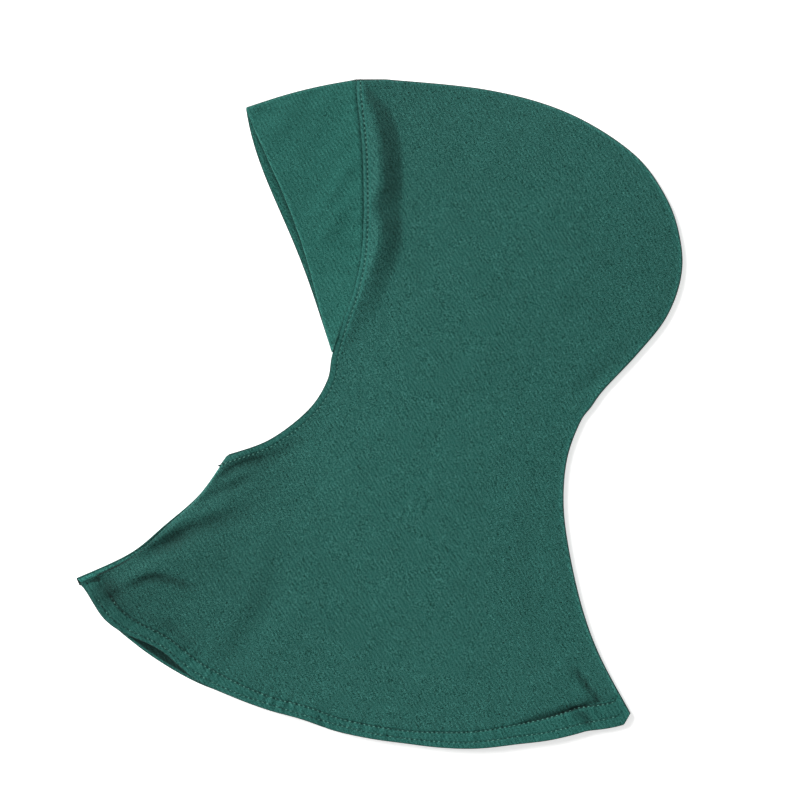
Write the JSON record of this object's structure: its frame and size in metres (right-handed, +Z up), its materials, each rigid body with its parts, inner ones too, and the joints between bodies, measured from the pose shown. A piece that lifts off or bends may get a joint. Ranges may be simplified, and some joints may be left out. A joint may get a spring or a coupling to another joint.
{
  "type": "underscarf cap",
  "caption": "Soft jersey head-and-neck cap lying folded flat on its side, with a doubled brow band, an open face, and a flared bib with a turned and stitched hem.",
  "frame": {"origin": "under the middle of the cap as it lies, on the surface it lies on", "axes": "+Z up from the surface, +Y from the hem towards the crown, +X from the face opening towards the back of the head"},
  "size_m": [0.4106, 0.4546, 0.0147],
  "materials": {
    "panel_jersey": "matt fine rib jersey",
    "band_jersey": "matt fine rib jersey, doubled",
    "hem_jersey": "matt fine rib jersey, turned and topstitched"
  },
  "bodies": {
    "root": {"left_side_panel": "panel_jersey", "right_side_panel": "panel_jersey", "brow_band": "band_jersey", "face_hem": "hem_jersey", "bottom_hem": "hem_jersey"}
  },
  "joints": []
}
